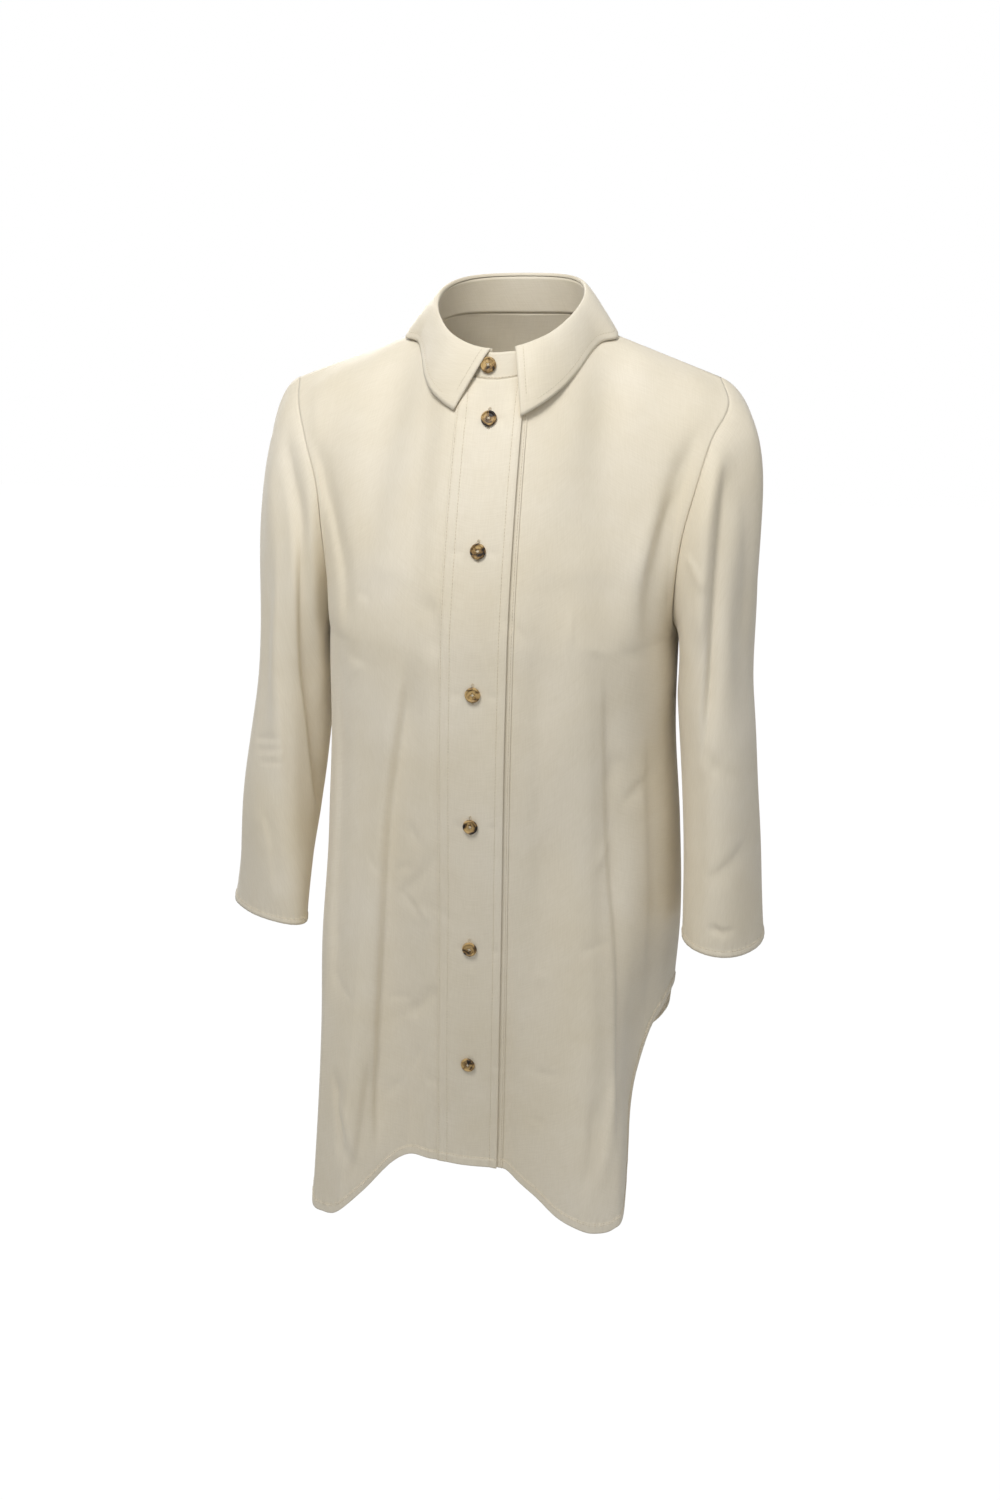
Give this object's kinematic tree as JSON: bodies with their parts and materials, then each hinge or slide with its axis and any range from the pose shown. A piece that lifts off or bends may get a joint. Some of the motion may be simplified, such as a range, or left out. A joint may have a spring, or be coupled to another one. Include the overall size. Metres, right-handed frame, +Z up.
{
  "type": "button-up shirt",
  "caption": "Filled-out, hollow button-up tunic shirt with a turned-down collar, buttoned front placket, three-quarter sleeves and a shirt-tail hem, for clothing a figure",
  "frame": {"origin": "the middle of the neck's base, at the height of the shoulder seams' neck ends, where the wearer's shoulders hold the shirt up", "axes": "+Z up; the front faces -Y; +X is the wearer's left"},
  "size_m": [0.4898, 0.2574, 0.8176],
  "materials": {
    "cream_crepe": "smooth cream crepe with a slight sheen",
    "horn": "mottled brown horn, polished"
  },
  "bodies": {
    "root": {"back": "cream_crepe", "collar_leaf": "cream_crepe", "collar_stand": "cream_crepe", "front_left": "cream_crepe", "front_right": "cream_crepe", "placket_top": "cream_crepe", "placket_under": "cream_crepe", "sleeve_left": "cream_crepe", "sleeve_right": "cream_crepe", "button_1": "horn", "button_2": "horn", "button_3": "horn", "button_4": "horn", "button_5": "horn", "button_6": "horn", "button_collar": "horn"}
  },
  "joints": []
}
